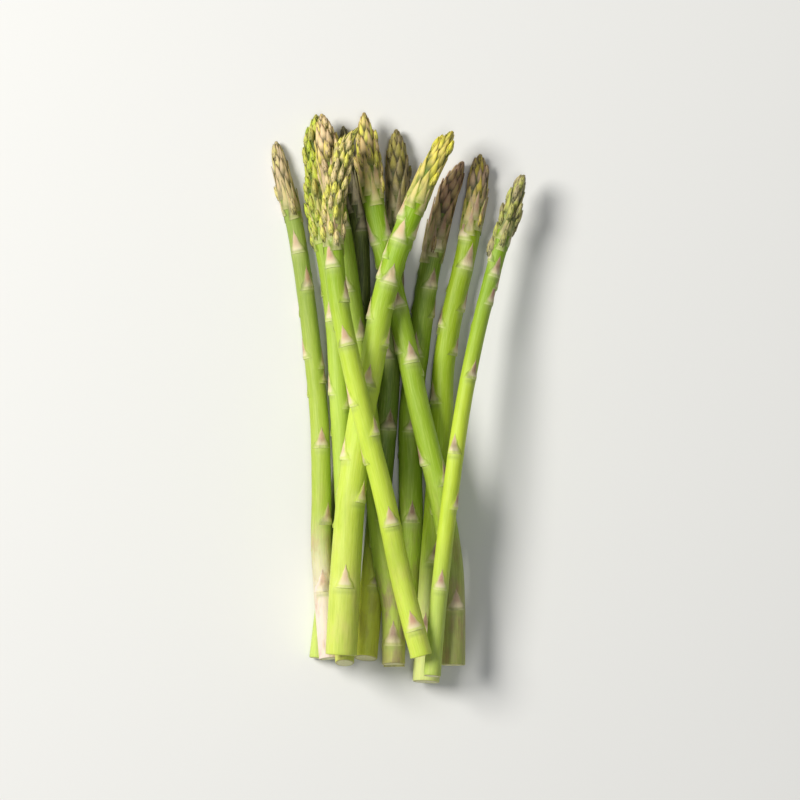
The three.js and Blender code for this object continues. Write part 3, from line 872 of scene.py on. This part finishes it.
# A scale or bud's place: where it sits, how it is turned and how large it is
def seat(spear, distance, angle, size, lean, part, draw, crown, twist=0.0):
    centre, along, right, up = (column[0] for column in frame_at(spear, [distance]))
    turn = math.radians(angle)
    out = math.cos(turn) * right + math.sin(turn) * up
    ahead = along * math.cos(lean) - out * math.sin(lean)
    outward = out * math.cos(lean) + along * math.sin(lean)
    sideways = np.cross(ahead, outward)
    basis = Matrix([Vector(sideways), Vector(ahead), Vector(outward)]).transposed()
    basis = basis @ Matrix.Rotation(math.radians(twist), 3, "Z")
    return dict(point=centre + out * radius_at(spear, distance), turn=tuple(basis.to_euler()), size=size,
                part=part, tint=draw.random(), place=distance, crown=crown)


# The lean that brings a scale's point onto the narrower stem ahead of it
def lean_for(spear, distance, length, lift=0.0):
    return math.atan2(radius_at(spear, distance) - radius_at(spear, distance - length) - lift, length)


# The stem scale that is nearest to the right width for a stem's radius
def stem_part(radius):
    angle = math.degrees(math.asin(min(STEM_SCALE_HALF_WIDTH / radius, WIDEST_CLASP)))
    return min(STEM_SCALES, key=lambda part: abs(STEM_SCALES[part] - angle))


# One scale of the stem
def stem_seat(spear, distance, angle, longer, draw):
    radius = radius_at(spear, distance)
    length = STEM_SCALE_LENGTH * between(draw, STEM_SCALE_LENGTH_CHANCE) + longer
    lean = lean_for(spear, distance, length)
    twist = wobble(draw, STEM_SCALE_TWIST)
    return seat(spear, distance, angle, (radius, length, radius), lean, stem_part(radius), draw, 0, twist)


# The scales of the stem, those seen in the nodes' places and others on the side that is turned
# away, and its side buds
def stem_seats(spear, draw):
    made = []
    for distance, angle in stem_nodes(spear):
        longer = LONGER_NEAR_HEAD * max(0, 1 - distance / (spear["peak"] * NEAR_HEAD))
        far_side = angle + 180 + wobble(draw, FAR_SIDE_SPREAD)
        made.append(stem_seat(spear, distance, angle, longer, draw))
        made.append(stem_seat(spear, distance + FAR_SIDE_BELOW, far_side, longer, draw))
    for y, angle in spear.get("buds", []):
        distance = distance_at_y(spear, y)
        made.append(bud_seat(spear, distance, angle, STEM_BUD_LENGTH, STEM_BUD_HALF_WIDTH, draw))
    return made


# One scale of the head, at a share of the head's scales from its tip down
def head_seat(spear, distance, angle, length, share, draw):
    radius = radius_at(spear, distance)
    widening = HEAD_SCALE_WIDENING + TIP_WIDENING * max(0, 1 - share * TIP_WIDENING_FALL)
    pointing = TIP_POINTING * radius * max(0, 1 - distance / TIP_POINTING_LENGTH)
    looseness = LOOSENESS + LOOSENESS_OF_BUDS * spear["budding"]
    lean = lean_for(spear, distance, length, HEAD_SCALE_LIFT - pointing) + wobble(draw, looseness)
    part = BRACT if share > BRACTS_FROM else HEAD_SCALE
    crown = 1 - BRACT_FADE * max(0, share - BRACTS_FROM) / (1 - BRACTS_FROM)
    twist = wobble(draw, HEAD_SCALE_TWIST)
    return seat(spear, distance, angle, (radius * widening, length, radius), lean, part, draw, crown, twist)


# The scales of the head, crowded at its tip, the longer bracts that follow down the stem, and the
# side buds between them
def head_seats(spear, draw):
    made = []
    crowding = CROWDING - CROWDING_LOST * spear["budding"]
    for index in range(spear["scales"]):
        share = (index + 0.5) / spear["scales"]
        distance = FIRST_SCALE + (spear["scaled"] - FIRST_SCALE) * share**crowding
        angle = spear["start"] + index * SCALE_TURN + wobble(draw, HEAD_SCALE_SPREAD)
        grown = HEAD_SCALE_LENGTH + HEAD_SCALE_GROWTH * share**HEAD_SCALE_GROWTH_CURVE
        length = min(grown * between(draw, HEAD_SCALE_LENGTH_CHANCE), distance + PAST_TIP)
        made.append(head_seat(spear, distance, angle, length, share, draw))
        if share > BUDS_FROM and draw.random() < spear["budding"]:
            bud_length = min(length, HEAD_BUD_LENGTH)
            made.append(bud_seat(spear, distance - BUD_ABOVE, angle, bud_length, HEAD_BUD_HALF_WIDTH, draw))
    return made


# A side bud between a scale and the stem, leaning out a little
def bud_seat(spear, distance, angle, scale_length, half_width, draw):
    length = scale_length * between(draw, BUD_LENGTH_CHANCE)
    lean = lean_for(spear, distance, length, between(draw, BUD_LIFT_CHANCE))
    size = (half_width * between(draw, BUD_WIDTH_CHANCE), length, half_width * BUD_DEPTH)
    return seat(spear, distance, angle + wobble(draw, BUD_SPREAD), size, lean, BUD, draw, 1)


# The stalk's line and the points of its scales and buds, with the values that the tree reads
def spear_source(spear, draw):
    line = stalk_line(spear)
    seats = stem_seats(spear, draw) + head_seats(spear, draw)
    count = len(line["place"])
    values = {}
    for key in ("part", "girth", "cut", "core", "place", "tint", "crown"):
        values[key] = np.concatenate([line.get(key, np.zeros(count)), [one.get(key, 0) for one in seats]])
    for key in ("turn", "size"):
        values[key] = np.vstack([np.zeros((count, 3)), [one[key] for one in seats]])
    past_end = np.maximum(line["place"] - spear["length"], 0)
    end_direction = frame_at(spear, [spear["length"]])[1]
    centre = frame_at(spear, line["place"])[0] - past_end[:, None] * end_direction
    points = np.vstack([centre, [one["point"] for one in seats]])
    edges = [(index, index + 1) for index in range(count - 1)]
    return mesh_object(spear["name"] + "_line", points, edges, [], values)


# The tree's result for one spear, as a plain mesh
def grown_mesh(spear, source, tree, shapes):
    modifier = source.modifiers.new("spear", "NODES")
    modifier.node_group = tree
    inputs = {item.name: item.identifier for item in tree.interface.items_tree if item.in_out == "INPUT"}
    modifier[inputs["Sides"]] = STALK_SIDES
    for shape in shapes:
        modifier[inputs[shape.name]] = shape
    modifier[inputs["Stalk skin"]] = stalk_skin(spear)
    modifier[inputs["Scale skin"]] = scale_skin(spear)
    depsgraph = bpy.context.evaluated_depsgraph_get()
    mesh = bpy.data.meshes.new_from_object(source.evaluated_get(depsgraph))
    mesh.name = spear["name"] + "_dressed"
    bpy.data.objects.remove(source)
    return mesh


# Slants the cut end, keeps the spear above the surface, and adds the values that its skins read
def finish_mesh(spear, mesh):
    points = np.zeros(len(mesh.vertices) * 3)
    mesh.vertices.foreach_get("co", points)
    points = points.reshape(-1, 3)
    place = read_values(mesh, "place")
    stalk = np.round(read_values(mesh, "part")) == STALK
    centre, along, right, up = frame_at(spear, place)
    offset = points - centre
    radius = np.maximum(np.linalg.norm(offset, axis=1), HAIR)
    height = (offset * up).sum(axis=1)
    sideways = (offset * right).sum(axis=1)
    near_end = np.clip((place - spear["length"] + SLANT_LENGTH) / SLANT_LENGTH, 0, 1) * stalk
    points += along * (near_end * (height + spear["butt"] / 2) * spear["cut"])[:, None]
    points[:, 2] = np.maximum(points[:, 2], 0)
    mesh.vertices.foreach_set("co", points.ravel())
    write_marks(spear, mesh, place, np.degrees(np.arctan2(height, sideways)), stalk)
    streak_place = np.column_stack([sideways / radius, height / radius, place * STREAK_LENGTH])
    write_values(mesh, "skin", streak_place)
    mesh.shade_smooth()
    mesh.set_sharp_from_angle(angle=math.radians(SHARP_EDGE))
    mesh.update()


# Marks the painted shadow below each stem scale's ledge and its pale band on the stalk, and the
# painted shade in its head
def write_marks(spear, mesh, place, angle, stalk):
    ledge_shadow = np.zeros(len(place))
    pale = np.zeros(len(place))
    for base, side in stem_nodes(spear):
        turned = np.abs((angle - side + 180) % 360 - 180)
        clasp = np.clip(1 - (turned / CLASP_ANGLE) ** CLASP_CURVE, 0, 1)
        ledge_shadow = np.maximum(ledge_shadow, clasp * bell(place, base + LEDGE_SHADOW_BELOW, LEDGE_SHADOW_LENGTH))
        pale = np.maximum(pale, clasp * bell(place, base - BAND_ABOVE, BAND_LENGTH))
    in_head = np.clip((GAP_END - place / spear["peak"]) / GAP_FADE, 0, 1)
    write_values(mesh, "ledge_shadow", ledge_shadow * stalk)
    write_values(mesh, "pale", pale * stalk)
    write_values(mesh, "head", in_head * stalk)


# One spear as a finished piece in the place of its solid
def make_spear(spear, tree, shapes, draw):
    mesh = grown_mesh(spear, spear_source(spear, draw), tree, shapes)
    finish_mesh(spear, mesh)
    piece = bpy.data.objects.new(spear["name"] + "_dressed", mesh)
    bpy.context.scene.collection.objects.link(piece)
    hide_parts(spear["name"])
    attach(piece, "root")


# A plain pale floor
def make_floor(half_width):
    corners = [(x * half_width, y * half_width, 0) for x, y in ((-1, -1), (1, -1), (1, 1), (-1, 1))]
    floor = mesh_object("floor", corners, [], [(0, 1, 2, 3)], {})
    plain = Finish("floor").shade({"Base Color": (0.82, 0.82, 0.81, 1), "Roughness": 0.9})
    floor.data.materials.append(plain)


# A soft light, turned to the bunch
def make_light(name, place, size, power, tint):
    lamp = bpy.data.lights.new(name, "AREA")
    lamp.shape = "DISK"
    lamp.size = size
    lamp.energy = power
    lamp.color = tint
    light = bpy.data.objects.new(name, lamp)
    light.location = place
    light.rotation_euler = (Vector((0, 0, 0)) - Vector(place)).to_track_quat("-Z", "Y").to_euler()
    bpy.context.scene.collection.objects.link(light)


# The even light of the studio
def make_world(tint, strength):
    world = bpy.data.worlds.new("studio")
    bpy.context.scene.world = world
    world.use_nodes = True
    background = world.node_tree.nodes["Background"]
    background.inputs["Color"].default_value = (*tint, 1)
    background.inputs["Strength"].default_value = strength


# The camera looks straight down, from far off, with the tips at the top of the picture
def make_camera(picture_width, distance, sensor_width=36):
    lens = bpy.data.cameras.new("camera")
    lens.sensor_width = sensor_width
    lens.lens = sensor_width * distance / picture_width
    camera = bpy.data.objects.new("camera", lens)
    camera.location = (0, 0, distance + PILE_MIDDLE)
    bpy.context.scene.collection.objects.link(camera)
    bpy.context.scene.camera = camera


make_camera(picture_width=0.336, distance=3.0)
make_floor(half_width=1.5)
make_light("key light", place=(-1.35, 0.6, 1.6), size=1.0, power=50, tint=(1.0, 0.98, 0.93))
make_light("front light", place=(0.2, -0.2, 2.6), size=0.7, power=10, tint=(1.0, 1.0, 0.98))
make_world(tint=(0.9, 0.94, 1.0), strength=0.16)
bpy.context.scene.view_settings.view_transform = "Standard"

lay_down(SPEARS)
shapes = scale_shapes()
tree = spear_tree([shape.name for shape in shapes])
for seed, spear in enumerate(SPEARS):
    check_place(spear)
    make_spear(spear, tree, shapes, np.random.default_rng(seed))
for shape in shapes:
    bpy.data.objects.remove(shape)
